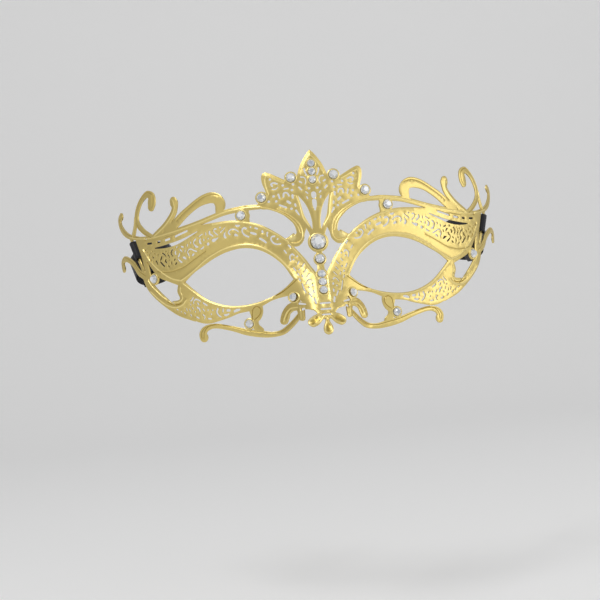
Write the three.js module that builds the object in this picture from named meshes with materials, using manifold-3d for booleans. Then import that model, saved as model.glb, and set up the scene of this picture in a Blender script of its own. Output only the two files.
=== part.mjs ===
// Venetian masquerade mask: one etched metal sheet bent round the face, glued crystal stones,
// and a rolled satin ribbon on each strap bar.
// Millimetres. +X is to the right of someone facing the mask, -Y is its front, +Z is up.
// The origin is at the back of the nose strip on the line of the eyes.
import * as THREE from "three";
import Module from "manifold-3d";

const wasm = await Module();
wasm.setup();

// The flat blank
const halfSpan = 100; // along the sheet from the nose line to the strap slot
const sheetHeight = 84; // tip of the crown to the tip of the lowest drop
const sheetThickness = 0.7;
const armWidth = 2.2; // a scroll arm at its plain stretches
const holeWidth = 1; // a pierced slit at its plain stretches
const dotRadius = 0.65;
const longestFacet = 9; // longest straight stretch along an arm's edge
const armBend = THREE.MathUtils.degToRad(20); // an arm's edge turns by this much from facet to facet
const slitBend = THREE.MathUtils.degToRad(48);
const widthStepShare = 0.4; // or widens by this much of its plain width
const spineSamples = 16;
const armEndFacets = 3;
const slitEndFacets = 2;
const padFacets = 10;
const dotFacets = 6;
const cutOverrun = 1;

// The bend round the face
const bendRadius = 101;
const noseSlope = 0.6; // how fast the ridge comes forward on the way down
const noseTop = 5; // the ridge starts this far above the line of the eyes
const noseBlend = 8; // half the height over which it bends forward
const noseStrip = 8; // flat width along the ridge
const noseFlank = 18; // from the strip's edge to where the ridge dies out
const crownLean = 7.1; // how far the crown's tip leans back
const leanDepth = 11; // the lean starts this far under the line of the eyes
const leanRise = 65; // and reaches the crown's tip this far above its start
const foldPitch = 10; // spacing of the facets that make the bend
const noseFold = 5.5;
const farEdgeShare = 1.22; // of the half span, past the last curl
const blankReachShare = 0.95; // of the sheet's height, past the crown and the drops

// Stones
const bigStone = 6.8;
const middleStone = 4.2;
const smallStone = 3.7;
const crownStone = 3.4;
const padRim = 0.8; // how far a pad shows round its stone
const stoneHeightShare = 0.42;
const tableShare = 0.52;
const girdleShare = 0.1;
const stoneFacets = 12;
const glueLine = 0.15;

// Ribbons
const ribbonLength = 450;
const ribbonWidth = 10;
const ribbonThickness = 0.4;
const ribbonPitch = 0.86; // from one turn of the roll to the next
const rollBore = 3.5;
const turnSteps = 20;
const foldClearance = 0.35; // round the strap bar
const tailLength = 8; // from the bar to the end of the stitched tail
const seamLength = 4.4; // of the tail, lying along the lead
const rollSetback = 14.4; // from the bar to the roll's middle, along the lead
const barEndGap = 2.6; // between the ribbon's edge and the bar's upper end
const tieWidth = 3;
const tieThickness = 0.4;
const tieGap = 0.3;

const gold = new THREE.MeshStandardMaterial({ color: 0xc8a94f, roughness: 0.32, metalness: 1 });
const crystal = new THREE.MeshStandardMaterial({ color: 0xe4eaf2, roughness: 0.05, metalness: 0.4 });
const satin = new THREE.MeshStandardMaterial({ color: 0x121216, roughness: 0.45, metalness: 0 });

const up = new THREE.Vector3(0, 0, 1);
const step = (t) => THREE.MathUtils.smoothstep(t, 0, 1);

// Where a point of the blank lies once the sheet is bent, on the middle of its thickness
function bent(across, rise) {
  const turn = across / bendRadius;
  const fall = noseTop - rise;
  const ridge = (noseSlope * (Math.hypot(fall, noseBlend) + fall)) / 2;
  const flank = 1 - step((Math.abs(across) - noseStrip / 2) / noseFlank);
  const lean = (Math.max(rise + leanDepth, 0) / leanRise) ** 2;
  const depth = bendRadius * (1 - Math.cos(turn)) - ridge * flank + crownLean * lean;
  return new THREE.Vector3(bendRadius * Math.sin(turn), depth, rise);
}

// The sheet's outward normal at a point of the blank
function facing(across, rise) {
  const probe = sheetThickness / 10;
  const along = bent(across + probe, rise).sub(bent(across - probe, rise));
  const upward = bent(across, rise + probe).sub(bent(across, rise - probe));
  return along.cross(upward).normalize();
}

// A place on the blank from its shares of the half span and of the sheet's height
const place = ([acrossShare, riseShare]) =>
  new THREE.Vector2(acrossShare * halfSpan, riseShare * sheetHeight);

// Makes a solid of a closed geometry
function solid(geometry) {
  const loose = geometry.index ? geometry.toNonIndexed() : geometry;
  const { position } = loose.attributes;
  const corners = new Map();
  const vertProperties = [];
  const triVerts = [];
  for (let i = 0; i < position.count; i++) {
    const point = [position.getX(i), position.getY(i), position.getZ(i)];
    const corner = point.map((c) => Math.round(c * 1e4) / 1e4);
    const key = corner.join(" ");
    if (!corners.has(key)) {
      corners.set(key, corners.size);
      vertProperties.push(...corner);
    }
    triVerts.push(corners.get(key));
  }
  return new wasm.Manifold(
    new wasm.Mesh({
      numProp: 3,
      vertProperties: new Float32Array(vertProperties),
      triVerts: new Uint32Array(triVerts),
    }),
  );
}

// A stretch of the blank, from its outline
const sheet = (shape, curveSegments) =>
  solid(new THREE.ExtrudeGeometry(shape, { depth: sheetThickness, bevelEnabled: false, curveSegments }));

// A cutter that goes right through the blank
function cutter(shape, curveSegments) {
  const depth = sheetThickness + 2 * cutOverrun;
  const geometry = new THREE.ExtrudeGeometry(shape, { depth, bevelEnabled: false, curveSegments });
  return solid(geometry.translate(0, 0, -cutOverrun));
}

// An outline of smooth runs that meet in corners: each run goes on from the last one's end
function outline(runShares) {
  const [startShares, ...restShares] = runShares;
  const shape = new THREE.Shape();
  shape.moveTo(...place(startShares[0]));
  for (const runShare of restShares) {
    const points = runShare.map(place);
    if (points.length > 1) shape.splineThru(points);
    else shape.lineTo(...points[0]);
  }
  return shape;
}

// A tapered arm with round ends. A row is across, up, and the share of the full width. The edge
// gets a corner wherever the arm has turned by bendStep or run straight for longestFacet
function arm(rowShares, width, bendStep, endFacets) {
  const spine = new THREE.CatmullRomCurve3(
    rowShares.map((row) => new THREE.Vector3(...place(row), row[2] * width)),
  );
  const samples = spineSamples * rowShares.length;
  const stations = [];
  for (let i = 0; i <= samples; i++) {
    const at = spine.getPointAt(i / samples);
    const tangent = spine.getTangentAt(i / samples).setZ(0);
    const last = stations.at(-1);
    const swollen = last && Math.abs(at.z - last.at.z) > widthStepShare * width;
    const turned = last && tangent.angleTo(last.tangent) > bendStep;
    const due = !last || swollen || turned || at.distanceTo(last.at) > longestFacet;
    if (i === samples && stations.length > 1) stations.pop();
    if (due || i === samples) stations.push({ at, tangent });
  }
  const zero = new THREE.Vector2();
  const ribs = stations.map(({ at, tangent }) => {
    const offset = new THREE.Vector2(0, at.z / 2).rotateAround(zero, Math.atan2(tangent.y, tangent.x));
    return { middle: new THREE.Vector2(at.x, at.y), offset };
  });
  const cap = ({ middle, offset }, sign) =>
    Array.from({ length: endFacets - 1 }, (_, i) =>
      offset.clone().rotateAround(zero, (-Math.PI * (i + 1)) / endFacets).multiplyScalar(sign).add(middle),
    );
  const left = ribs.map(({ middle, offset }) => middle.clone().add(offset));
  const right = ribs.map(({ middle, offset }) => middle.clone().sub(offset)).reverse();
  return new THREE.Shape([...left, ...cap(ribs.at(-1), 1), ...right, ...cap(ribs[0], -1)]);
}

const disc = (middle, radius) => new THREE.Shape().absarc(middle.x, middle.y, radius, 0, 2 * Math.PI);

// The plate round the eye: from the strap corner along the brow to the nose, and back under the eye
const surroundShares = [
  [[0.985, 0.262]],
  [[0.86, 0.25], [0.72, 0.262], [0.585, 0.296]],
  [[0.49, 0.302], [0.395, 0.304], [0.315, 0.29], [0.245, 0.26], [0.19, 0.22], [0.14, 0.172], [0.1, 0.115],
    [0.065, 0.06], [0.04, 0.01], [0.018, -0.03]],
  [[-0.03, -0.03]],
  [[-0.03, -0.268]],
  [[0.028, -0.264]],
  [[0.035, -0.245], [0.046, -0.225], [0.062, -0.208]],
  [[0.105, -0.16], [0.145, -0.127]],
  [[0.2, -0.138], [0.235, -0.15], [0.275, -0.172], [0.325, -0.193]],
  [[0.39, -0.202], [0.437, -0.219], [0.496, -0.235], [0.544, -0.244], [0.6, -0.232], [0.69, -0.18]],
  [[0.75, -0.105]],
  [[0.7, -0.095], [0.712, -0.055], [0.705, -0.018]],
  [[0.755, 0.003], [0.83, 0.038], [0.862, 0.072], [0.93, 0.16]],
  [[0.985, 0.262]],
];
const eyeShares = [
  [[0.662, -0.005]],
  [[0.615, 0.035], [0.55, 0.075], [0.485, 0.112], [0.42, 0.137], [0.345, 0.148], [0.275, 0.132],
    [0.215, 0.092], [0.165, 0.035], [0.125, -0.045]],
  [[0.17, -0.09], [0.225, -0.125], [0.31, -0.153], [0.395, -0.16], [0.465, -0.148], [0.55, -0.108],
    [0.615, -0.052], [0.662, -0.005]],
];
// The long opening between the middle petal and the side petal
const lensShares = [
  [[0.071, 0.405]],
  [[0.061, 0.35], [0.051, 0.294], [0.037, 0.257], [0.02, 0.215]],
  [[0.019, 0.258], [0.028, 0.315], [0.045, 0.363], [0.071, 0.405]],
];
// The crown: half of the middle petal, the side petal, and its stem down to the big stone
const crownShares = [
  [[-0.03, 0.17]],
  [[-0.03, 0.6]],
  [[0, 0.653]],
  [[0.018, 0.629], [0.035, 0.6], [0.049, 0.572], [0.062, 0.535], [0.072, 0.495]],
  [[0.124, 0.495]],
  [[0.158, 0.518], [0.186, 0.536], [0.21, 0.548]],
  [[0.223, 0.543], [0.231, 0.525], [0.229, 0.485], [0.219, 0.45], [0.215, 0.415]],
  [[0.262, 0.375]],
  [[0.247, 0.351], [0.21, 0.343], [0.164, 0.319], [0.126, 0.288], [0.104, 0.255], [0.094, 0.221],
    [0.092, 0.18]],
  [[0.062, 0.165]],
  [[0.056, 0.198], [0.047, 0.224]],
  [[0.038, 0.2], [0.03, 0.17]],
  [[-0.03, 0.17]],
];
// Arms and curls. The last number of a row is its share of the arm width
const armShares = {
  browBar: [[0.25, 0.362, 0.9], [0.308, 0.364, 1.1], [0.366, 0.359, 1.1], [0.426, 0.35, 1.1],
    [0.487, 0.332, 1.1], [0.553, 0.312, 1.1], [0.64, 0.292, 1.1], [0.74, 0.275, 1.1], [0.86, 0.262, 1.1],
    [0.96, 0.27, 0.9], [1.05, 0.287, 0.9]],
  innerCurl: [[0.113, 0.285, 1.1], [0.085, 0.25, 1.1], [0.077, 0.21, 1.2], [0.085, 0.18, 1.6],
    [0.1, 0.176, 2], [0.135, 0.162, 1.5]],
  tallCurl: [[0.85, 0.264, 1], [0.922, 0.308, 1.2], [0.968, 0.357, 1.4], [0.974, 0.4, 1.4],
    [0.953, 0.449, 1.3], [0.918, 0.49, 1.2], [0.87, 0.516, 1.5], [0.841, 0.496, 2.1],
    [0.843, 0.46, 2.4], [0.849, 0.44, 2]],
  tallStrand: [[0.985, 0.39, 1], [0.997, 0.339, 1.1], [1.022, 0.285, 1.3]],
  outerCurl: [[0.97, 0.272, 0.9], [1.045, 0.288, 1.1], [1.11, 0.317, 1.4], [1.158, 0.36, 1.5],
    [1.17, 0.4, 1.5], [1.142, 0.42, 1.7]],
  shortCurl: [[0.84, 0.268, 1.3], [0.764, 0.315, 1.5], [0.725, 0.352, 1.5], [0.699, 0.387, 1.5],
    [0.69, 0.413, 1.5], [0.692, 0.44, 2.1], [0.695, 0.452, 1.9]],
  browLeaf: [[0.75, 0.285, 1.5], [0.705, 0.313, 1.9], [0.638, 0.368, 1.8], [0.599, 0.395, 1.7],
    [0.559, 0.42, 1.8], [0.518, 0.437, 2.1], [0.478, 0.442, 2.3], [0.45, 0.428, 2.3], [0.439, 0.4, 2.4],
    [0.446, 0.36, 1.7]],
  browPost: [[0.313, 0.365, 0.9], [0.313, 0.285, 0.9]],
  strapBar: [[1.05, 0.287, 0.9], [0.995, 0.178, 0.9], [0.94, 0.07, 0.9]],
  slotStrip: [[0.98, 0.262, 1.3], [0.946, 0.185, 1.4], [0.918, 0.1, 1.5], [0.903, 0.03, 1.5]],
  strut: [[0.945, 0.066, 1.6], [0.91, 0.003, 2.2], [0.87, -0.042, 2.2], [0.818, -0.088, 2],
    [0.759, -0.135, 1.7], [0.703, -0.173, 1.5], [0.62, -0.213, 1]],
  cheekCurl: [[0.93, 0.045, 1.4], [0.989, 0.08, 1.5], [1.029, 0.123, 1.3], [1.083, 0.156, 1.2],
    [1.135, 0.167, 1.3], [1.168, 0.147, 1.3], [1.158, 0.112, 1.7]],
  connector: [[0.309, -0.16, 2.8], [0.306, -0.197, 2.9], [0.308, -0.222, 2.4], [0.316, -0.251, 1.5],
    [0.312, -0.278, 1.4], [0.298, -0.305, 1.9]],
  lowerScroll: [[0.579, -0.318, 2], [0.583, -0.3, 1.8], [0.572, -0.277, 1.4], [0.543, -0.262, 1.1],
    [0.507, -0.26, 1], [0.462, -0.27, 1], [0.411, -0.286, 1.1], [0.361, -0.305, 1.3],
    [0.292, -0.321, 1.4], [0.236, -0.329, 1.1], [0.193, -0.32, 1.1], [0.164, -0.296, 1],
    [0.139, -0.268, 0.9], [0.115, -0.235, 0.8]],
  cheekLeaf: [[0.045, -0.2, 1.3], [0.087, -0.189, 1.4], [0.118, -0.187, 1.8], [0.146, -0.192, 1.7],
    [0.167, -0.213, 1.5], [0.177, -0.24, 1.6], [0.183, -0.262, 1.5]],
  cheekStub: [[0.108, -0.2, 1.4], [0.107, -0.253, 1.1]],
  cheekPost: [[0.13, -0.135, 0.8], [0.128, -0.185, 0.8]],
  noseStrip: [[0, 0.145, 1.1], [0, -0.05, 1.6]],
  middleDrop: [[0, -0.25, 0.9], [0, -0.28, 0.9], [0, -0.302, 1.7], [0, -0.32, 2]],
  sideDrop: [[0.018, -0.243, 1.1], [0.047, -0.267, 1.9], [0.064, -0.279, 1.8]],
};
// Pierced slits and scrolls. The last number of a row is its share of the slit width
const slitShares = {
  barDashes: [
    [[0.9, 0.234, 1], [0.864, 0.233, 1]],
    [[0.82, 0.234, 1.1], [0.803, 0.236, 1.1]],
    [[0.766, 0.239, 1.1], [0.736, 0.244, 1.1]],
    [[0.7, 0.253, 1.1], [0.627, 0.275, 1.1]],
  ],
  crescent: [
    [[0.845, 0.203, 0.5], [0.797, 0.203, 1.2], [0.749, 0.207, 1.7], [0.693, 0.217, 1.7],
      [0.642, 0.234, 1.2], [0.57, 0.265, 0.5]],
  ],
  middlePetal: [
    [[0.033, 0.548, 0.9], [0.03, 0.53, 0.8], [0.023, 0.513, 0.7]],
    [[0.05, 0.505, 0.9], [0.037, 0.502, 0.6], [0.03, 0.482, 0.5], [0.035, 0.464, 0.4]],
    [[0.058, 0.481, 0.9], [0.05, 0.474, 0.8]],
    [[0.063, 0.45, 0.9], [0.054, 0.436, 0.9]],
    [[0.034, 0.422, 0.7], [0.027, 0.414, 0.7]],
    [[0.032, 0.395, 0.7], [0.029, 0.385, 0.7]],
    [[0, 0.408, 2.4], [0, 0.396, 2.3]],
    [[0, 0.37, 2.1], [0, 0.345, 1.9], [0, 0.32, 0.6]],
  ],
  sidePetal: [
    [[0.184, 0.468, 0.8], [0.188, 0.481, 1], [0.175, 0.486, 0.9], [0.161, 0.479, 0.8]],
    [[0.185, 0.452, 0.6], [0.172, 0.45, 0.7], [0.161, 0.458, 0.6]],
    [[0.16, 0.421, 0.9], [0.155, 0.399, 0.8]],
    [[0.158, 0.362, 0.9], [0.129, 0.346, 0.9]],
    [[0.131, 0.447, 0.8], [0.114, 0.449, 0.8]],
    [[0.137, 0.405, 0.9], [0.134, 0.425, 0.9], [0.12, 0.425, 0.8], [0.112, 0.408, 0.8]],
    [[0.096, 0.409, 1.2], [0.096, 0.395, 0.9]],
    [[0.12, 0.378, 1.2], [0.11, 0.368, 1.2]],
    [[0.088, 0.36, 0.9], [0.086, 0.35, 0.9]],
    [[0.086, 0.325, 1], [0.074, 0.3, 0.6]],
  ],
  noseSlots: [
    [[-0.02, -0.183, 1], [0.02, -0.183, 1]],
    [[-0.02, -0.214, 1], [0.02, -0.214, 1]],
    [[-0.016, -0.243, 1], [0.016, -0.243, 1]],
    [[0.045, -0.155, 0.9], [0.04, -0.18, 0.9]],
  ],
  cheekWedge: [[[0.112, -0.175, 1.1], [0.085, -0.182, 0.6]]],
  leafHole: [[[0.1, -0.207, 1.3], [0.092, -0.203, 0.8]]],
};
const dotShares = [
  [0.908, 0.261], [0.019, 0.44], [0.192, 0.507], [0.136, 0.468], [0.089, 0.469], [0.096, 0.438],
  [0.182, 0.413], [0.172, 0.384], [0.206, 0.386], [0.106, 0.337],
];
// Rows of pierced commas with dots between them: where each row runs, how many commas it has, and their size
const filigreeShares = [
  {
    path: [[0.925, 0.195], [0.82, 0.168], [0.72, 0.176], [0.62, 0.213], [0.5, 0.257]],
    count: 10,
    size: 1.1,
  },
  { path: [[0.875, 0.15], [0.79, 0.125], [0.7, 0.133], [0.62, 0.175]], count: 6, size: 1.1 },
  { path: [[0.81, 0.095], [0.755, 0.083], [0.69, 0.095]], count: 3, size: 1 },
  { path: [[0.44, 0.262], [0.36, 0.262], [0.29, 0.245], [0.225, 0.205]], count: 5, size: 1.3 },
  { path: [[0.17, 0.13], [0.12, 0.065], [0.085, -0.01], [0.065, -0.09]], count: 4, size: 1.05 },
  {
    path: [[0.665, -0.12], [0.6, -0.168], [0.52, -0.192], [0.42, -0.188], [0.36, -0.178]],
    count: 7,
    size: 0.9,
  },
];
const commaRadius = 1.45; // from a comma's middle to its curve
const commaSweep = THREE.MathUtils.degToRad(207);
const commaLead = THREE.MathUtils.degToRad(60);
const commaWidthShares = [1.7, 1.2, 0.9, 0.5]; // from the comma's head to its tail

// Stones of the right half and the nose line, with the pad each one sits on
const stoneShares = [
  { name: "nose_1", at: [0, 0.146], size: bigStone },
  { name: "nose_2", at: [0, 0.052], size: middleStone },
  { name: "nose_3", at: [0, -0.03], size: smallStone },
  { name: "nose_4", at: [0, -0.073], size: smallStone },
  { name: "nose_5", at: [0, -0.116], size: smallStone },
  { name: "crown_top", at: [0, 0.575], size: crownStone },
  { name: "crown_middle", at: [0, 0.53], size: crownStone },
  { name: "crown_bottom", at: [0, 0.485], size: crownStone },
  { name: "crown_valley", at: [0.097, 0.505], size: middleStone },
  { name: "crown_foot", at: [0.238, 0.41], size: middleStone },
  { name: "brow", at: [0.341, 0.325], size: middleStone },
  { name: "cheek", at: [0.13, -0.14], size: smallStone },
  { name: "scroll", at: [0.342, -0.262], size: smallStone },
  { name: "temple", at: [0.86, 0.03], size: middleStone },
];

// One row of the filigree: commas that turn over from one to the next, with a dot after each
function filigree({ path, count, size }) {
  const guide = new THREE.SplineCurve(path.map(place));
  const radius = commaRadius * size;
  return Array.from({ length: count }, (_, i) => {
    const share = count > 1 ? i / (count - 1) : 0;
    const middle = guide.getPointAt(share);
    const tangent = guide.getTangentAt(share);
    const flip = i % 2 ? 1 : -1;
    const start = Math.atan2(tangent.y, tangent.x) + flip * commaLead;
    const rows = commaWidthShares.map((widthShare, k) => {
      const angle = start + (flip * k * commaSweep) / (commaWidthShares.length - 1);
      const point = new THREE.Vector2(radius, 0).rotateAround(new THREE.Vector2(), angle).add(middle);
      return [point.x / halfSpan, point.y / sheetHeight, widthShare];
    });
    return cutter(arm(rows, holeWidth * size, slitBend, slitEndFacets), 1);
  });
}

// The flat right half: plates, arms and pads joined, then pierced
function halfBlank() {
  let blank = sheet(outline(surroundShares), 1).subtract(cutter(outline(eyeShares), 1));
  blank = blank.add(sheet(outline(crownShares), 1)).subtract(cutter(outline(lensShares), 1));
  for (const rowShares of Object.values(armShares)) {
    blank = blank.add(sheet(arm(rowShares, armWidth, armBend, armEndFacets), 1));
  }
  for (const { at, size } of stoneShares) {
    blank = blank.add(sheet(disc(place(at), size / 2 + padRim), padFacets / 2));
  }
  for (const slits of Object.values(slitShares)) {
    for (const rowShares of slits) {
      blank = blank.subtract(cutter(arm(rowShares, holeWidth, slitBend, slitEndFacets), 1));
    }
  }
  for (const dotShare of dotShares) {
    blank = blank.subtract(cutter(disc(place(dotShare), dotRadius), dotFacets / 2));
  }
  for (const row of filigreeShares) {
    for (const comma of filigree(row)) blank = blank.subtract(comma);
  }
  return blank;
}

// Lines up the blank on which the sheet is creased: close together on the nose, then evenly spaced
function creases() {
  const lines = [0];
  while (lines.at(-1) < noseStrip / 2 + noseFlank) lines.push(lines.at(-1) + noseFold);
  const spread = farEdgeShare * halfSpan - lines.at(-1);
  const count = Math.ceil(spread / foldPitch);
  const first = lines.at(-1);
  for (let i = 1; i <= count; i++) lines.push(first + (spread * i) / count);
  return lines;
}

// Cuts the blank along the creases, leaves the cut faces out, and gives the triangles of each strip
function strips(blank, lines) {
  const near = sheetThickness / 1000;
  const seams = lines.map(() => []);
  const seat = (line, corner) => {
    const same = (p) => Math.abs(p.y - corner.y) < near && Math.abs(p.z - corner.z) < near;
    const known = seams[line].find(same);
    if (known) return known;
    const seated = new THREE.Vector3(lines[line], corner.y, corner.z);
    seams[line].push(seated);
    return seated;
  };
  const triangles = [];
  for (let s = 0; s + 1 < lines.length; s++) {
    const width = lines[s + 1] - lines[s];
    const height = 2 * blankReachShare * sheetHeight;
    const slab = new THREE.BoxGeometry(width, height, sheetThickness + 2 * cutOverrun);
    const piece = blank.intersect(solid(slab.translate(lines[s] + width / 2, 0, sheetThickness / 2)));
    const { vertProperties, triVerts, numProp } = piece.getMesh();
    const corners = [];
    const sideOf = [];
    for (let i = 0; i < vertProperties.length; i += numProp) {
      const corner = new THREE.Vector3(vertProperties[i], vertProperties[i + 1], vertProperties[i + 2]);
      const side = [s, s + 1].find((line) => Math.abs(corner.x - lines[line]) < near);
      sideOf.push(side ?? -1);
      corners.push(side === undefined ? corner : seat(side, corner));
    }
    for (let i = 0; i < triVerts.length; i += 3) {
      const ids = [...triVerts.subarray(i, i + 3)];
      const [a, b, c] = ids.map((id) => sideOf[id]);
      if (a >= 0 && a === b && b === c) continue;
      triangles.push({ corners: ids.map((id) => corners[id]), sides: [a, b, c] });
    }
  }
  return { triangles, seams };
}

// Splits each triangle whose edge lies on a crease at the corners that the next strip has there
function stitched({ triangles, seams }) {
  const result = [];
  for (const { corners, sides } of triangles) {
    const edge = [0, 1, 2].find((i) => {
      const j = (i + 1) % 3;
      return sides[i] >= 0 && sides[i] === sides[j] && corners[i].z === corners[j].z;
    });
    if (edge === undefined) {
      result.push(corners);
      continue;
    }
    const from = corners[edge];
    const to = corners[(edge + 1) % 3];
    const apex = corners[(edge + 2) % 3];
    const low = Math.min(from.y, to.y);
    const high = Math.max(from.y, to.y);
    const between = seams[sides[edge]].filter((p) => p.z === from.z && p.y > low && p.y < high);
    between.sort((p, q) => (to.y > from.y ? p.y - q.y : q.y - p.y));
    const chain = [from, ...between, to];
    for (let i = 0; i + 1 < chain.length; i++) result.push([chain[i], chain[i + 1], apex]);
  }
  return result;
}

// A geometry from triangles, each a list of three corners
function geometryOf(triangles) {
  const geometry = new THREE.BufferGeometry();
  geometry.setFromPoints(triangles.flat());
  geometry.computeVertexNormals();
  return geometry;
}

const mirrored = (triangles) =>
  triangles.map((corners) => corners.map((p) => new THREE.Vector3(-p.x, p.y, p.z)).reverse());

// The whole sheet: the right half bent, and its mirror image
function maskFrame() {
  const flat = stitched(strips(halfBlank(), creases()));
  const half = flat.map((corners) =>
    corners.map((p) => {
      const front = facing(p.x, p.y).multiplyScalar(p.z - sheetThickness / 2);
      return bent(p.x, p.y).add(front);
    }),
  );
  return geometryOf([...half, ...mirrored(half)]);
}

// A flat-back brilliant, its back on its own origin and its table along +Z
function stoneGeometry(size) {
  const radius = size / 2;
  const height = size * stoneHeightShare;
  const profile = [
    new THREE.Vector2(0, 0),
    new THREE.Vector2(radius, 0),
    new THREE.Vector2(radius, size * girdleShare),
    new THREE.Vector2(radius * tableShare, height),
    new THREE.Vector2(0, height),
  ];
  return new THREE.LatheGeometry(profile, stoneFacets).rotateX(Math.PI / 2);
}

// A stone's flat back lies on the highest points of the bent sheet just round its pad
function addStone(group, name, at, size) {
  const { x, y } = place(at);
  const stone = new THREE.Mesh(stoneGeometry(size), crystal);
  const normal = facing(x, y);
  const middle = bent(x, y);
  let seat = 0;
  for (let i = 0; i < stoneFacets; i++) {
    const angle = (2 * Math.PI * i) / stoneFacets;
    const rim = new THREE.Vector2(size / 2 + 2 * padRim, 0).rotateAround(new THREE.Vector2(), angle);
    seat = Math.max(seat, bent(x + rim.x, y + rim.y).sub(middle).dot(normal));
  }
  stone.name = name;
  stone.quaternion.setFromUnitVectors(up, normal);
  stone.position.copy(middle).addScaledVector(normal, sheetThickness / 2 + seat + glueLine);
  group.add(stone);
}

// The ribbon's path seen along the bar: stitched tail, fold round the bar, lead, then the roll inwards
function ribbonPath(foldRadius) {
  const seam = new THREE.Vector2(tailLength - seamLength, ribbonPitch - foldRadius);
  const path = [new THREE.Vector2(tailLength, seam.y), seam];
  const foldStart = Math.atan2(seam.y, seam.x) + Math.acos(foldRadius / seam.length());
  const foldTurn = (3 * Math.PI) / 2 - foldStart;
  const foldSteps = turnSteps / 2;
  for (let i = 0; i <= foldSteps; i++) {
    const angle = foldStart + (foldTurn * i) / foldSteps;
    path.push(new THREE.Vector2(foldRadius * Math.cos(angle), foldRadius * Math.sin(angle)));
  }
  const used = tailLength + foldTurn * foldRadius + rollSetback;
  const radius = Math.sqrt(((ribbonLength - used) * ribbonPitch) / Math.PI + rollBore ** 2);
  const turns = (radius - rollBore) / ribbonPitch;
  const middle = new THREE.Vector2(rollSetback, radius - foldRadius);
  const steps = Math.round(turns * turnSteps);
  for (let i = 0; i <= steps; i++) {
    const turn = (i / turnSteps) * 2 * Math.PI;
    const reach = radius - (ribbonPitch * i) / turnSteps;
    const spoke = new THREE.Vector2(0, -reach).rotateAround(new THREE.Vector2(), turn);
    path.push(spoke.add(middle));
  }
  return { path, middle, radius, coilStart: path.length - steps - 1 };
}

// The strip's outline: its path moved out to both faces
function stripShape(path) {
  const sides = [[], []];
  path.forEach((point, i) => {
    const before = path[Math.max(i - 1, 0)];
    const after = path[Math.min(i + 1, path.length - 1)];
    const tangent = after.clone().sub(before).normalize();
    const offset = new THREE.Vector2(-tangent.y, tangent.x).multiplyScalar(ribbonThickness / 2);
    sides[0].push(point.clone().add(offset));
    sides[1].push(point.clone().sub(offset));
  });
  return new THREE.Shape([...sides[0], ...sides[1].reverse()]);
}

// The least clear distance between one turn of the roll and the next
function leastGap(path, coilStart) {
  let least = Infinity;
  const foot = new THREE.Vector3();
  const flat = path.map((p) => new THREE.Vector3(p.x, p.y, 0));
  for (let i = coilStart; i < flat.length; i++) {
    for (let j = i + turnSteps / 2; j + 1 < flat.length; j++) {
      new THREE.Line3(flat[j], flat[j + 1]).closestPointToPoint(flat[i], true, foot);
      least = Math.min(least, foot.distanceTo(flat[i]));
    }
  }
  return least - ribbonThickness;
}

// The right strap bar once bent: the middle of the ribbon's fold, and the way the ribbon leaves it,
// square to the sheet and backwards
function barFrame() {
  const { strapBar } = armShares;
  const ends = [strapBar.at(0), strapBar.at(-1)].map((row) => bent(...place(row)));
  const along = ends[0].clone().sub(ends[1]).normalize();
  const drop = armWidth / 2 + barEndGap + ribbonWidth / 2;
  const middle = ends[0].clone().addScaledVector(along, -drop);
  const lead = facing(...place(strapBar[1])).negate().projectOnPlane(along).normalize();
  return { along, middle, lead };
}

function addRibbons(group) {
  const { along, middle, lead } = barFrame();
  const barShare = armShares.strapBar[0][2];
  const barRadius = Math.hypot((armWidth * barShare) / 2, sheetThickness / 2);
  const foldRadius = barRadius + foldClearance + ribbonThickness / 2;
  const { path, middle: rollMiddle, radius, coilStart } = ribbonPath(foldRadius);
  const sideways = lead.clone().cross(along);
  const axes = new THREE.Matrix4().makeBasis(lead, sideways, along.clone().negate()).setPosition(middle);
  console.log("least gap between the ribbon's turns:", leastGap(path, coilStart).toFixed(3), "mm");
  const ribbon = new THREE.ExtrudeGeometry(stripShape(path), { depth: ribbonWidth, bevelEnabled: false });
  ribbon.translate(0, 0, -ribbonWidth / 2);

  const roomOut = radius + ribbonThickness / 2 + tieGap;
  const roomIn = Math.sqrt((rollBore - ribbonThickness) ** 2 - (tieWidth / 2) ** 2) - tieGap;
  const roomSide = ribbonWidth / 2 + tieGap;
  const tieShape = new THREE.Shape([
    new THREE.Vector2(-roomSide - tieThickness, roomIn - tieThickness),
    new THREE.Vector2(roomSide + tieThickness, roomIn - tieThickness),
    new THREE.Vector2(roomSide + tieThickness, roomOut + tieThickness),
    new THREE.Vector2(-roomSide - tieThickness, roomOut + tieThickness),
  ]);
  tieShape.holes.push(
    new THREE.Path([
      new THREE.Vector2(-roomSide, roomIn),
      new THREE.Vector2(-roomSide, roomOut),
      new THREE.Vector2(roomSide, roomOut),
      new THREE.Vector2(roomSide, roomIn),
    ]),
  );
  const tie = new THREE.ExtrudeGeometry(tieShape, { depth: tieWidth, bevelEnabled: false });
  tie.translate(0, 0, -tieWidth / 2).rotateY(-Math.PI / 2);
  tie.translate(rollMiddle.x, rollMiddle.y, 0);

  for (const [side, flip] of [["right", 1], ["left", -1]]) {
    for (const [name, geometry] of [["ribbon", ribbon], ["ribbon_tie", tie]]) {
      const placed = trianglesOf(geometry.clone().applyMatrix4(axes));
      const mesh = new THREE.Mesh(geometryOf(flip > 0 ? placed : mirrored(placed)), satin);
      mesh.name = `${side}_${name}`;
      group.add(mesh);
    }
  }
}

function trianglesOf(geometry) {
  const { position } = (geometry.index ? geometry.toNonIndexed() : geometry).attributes;
  return Array.from({ length: position.count / 3 }, (_, i) =>
    [0, 1, 2].map((k) => new THREE.Vector3().fromBufferAttribute(position, 3 * i + k)),
  );
}

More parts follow.
